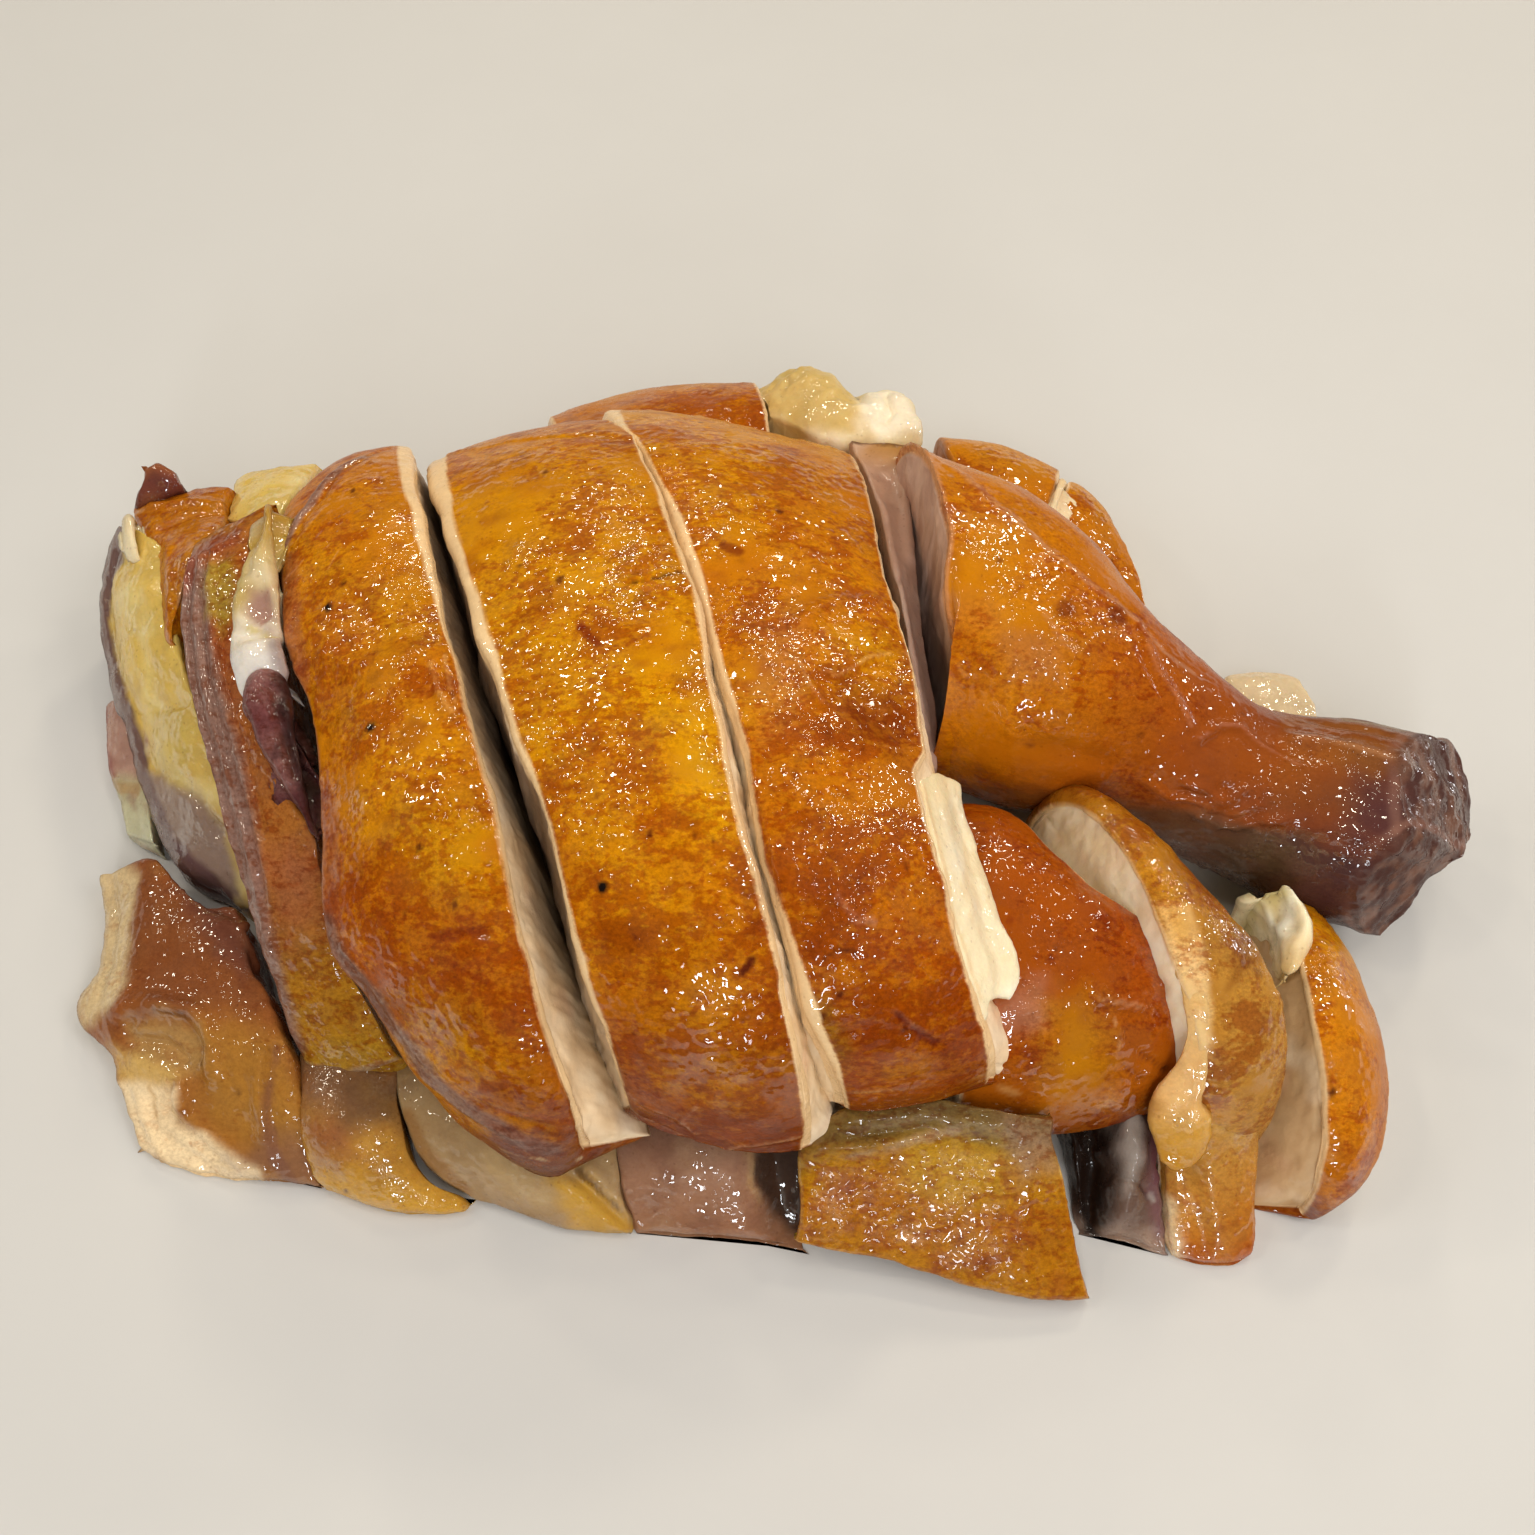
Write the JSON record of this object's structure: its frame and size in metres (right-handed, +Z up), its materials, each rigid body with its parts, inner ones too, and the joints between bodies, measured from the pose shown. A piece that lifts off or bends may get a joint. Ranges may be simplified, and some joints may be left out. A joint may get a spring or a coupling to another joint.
{
  "type": "soy sauce chicken",
  "caption": "Chopped soy sauce chicken laid back together as a low heap of slices, with glossy amber skin and a whole drumstick at one end.",
  "frame": {"origin": "middle of the heap's box on the surface it rests on", "axes": "+X along the heap from the shoulder to the ankle end of the drumstick, +Y across it towards the back, +Z up"},
  "size_m": [0.2119, 0.1558, 0.0575],
  "materials": {
    "breast_skin": "soy-lacquered poultry skin, amber with brown mottling, wet gloss",
    "leg_skin": "soy-lacquered leg skin, red-brown, wet gloss",
    "thin_skin": "thin translucent skin over meat, honey brown, wet gloss",
    "fat": "soft yellow poultry fat, wet gloss",
    "white_meat": "cut breast meat, cream white with fine fibres, damp",
    "dark_meat": "cut leg and shoulder meat, grey-brown, damp",
    "bone": "cut bone with dark marrow and cooked blood, damp"
  },
  "bodies": {
    "root": {"breast_slice_2": "breast_skin", "breast_slice_3": "breast_skin", "breast_slice_1": "breast_skin", "drumstick": "leg_skin", "thigh_slice_2": "thin_skin", "thigh_slice_1": "leg_skin", "thigh_slice_3": "breast_skin", "wing_slice": "leg_skin", "skin_flap": "thin_skin", "shoulder_top": "breast_skin", "neck_fat": "fat", "shoulder_cut": "fat", "shoulder_low": "leg_skin", "fat_fold": "fat", "under_slice_1": "white_meat", "under_slice_2": "dark_meat", "rib_bone": "bone", "back_slice": "breast_skin", "back_chunk": "white_meat", "thigh_back_1": "leg_skin", "thigh_back_2": "leg_skin", "rib_scrap": "white_meat", "side_scrap": "dark_meat"}
  },
  "joints": []
}
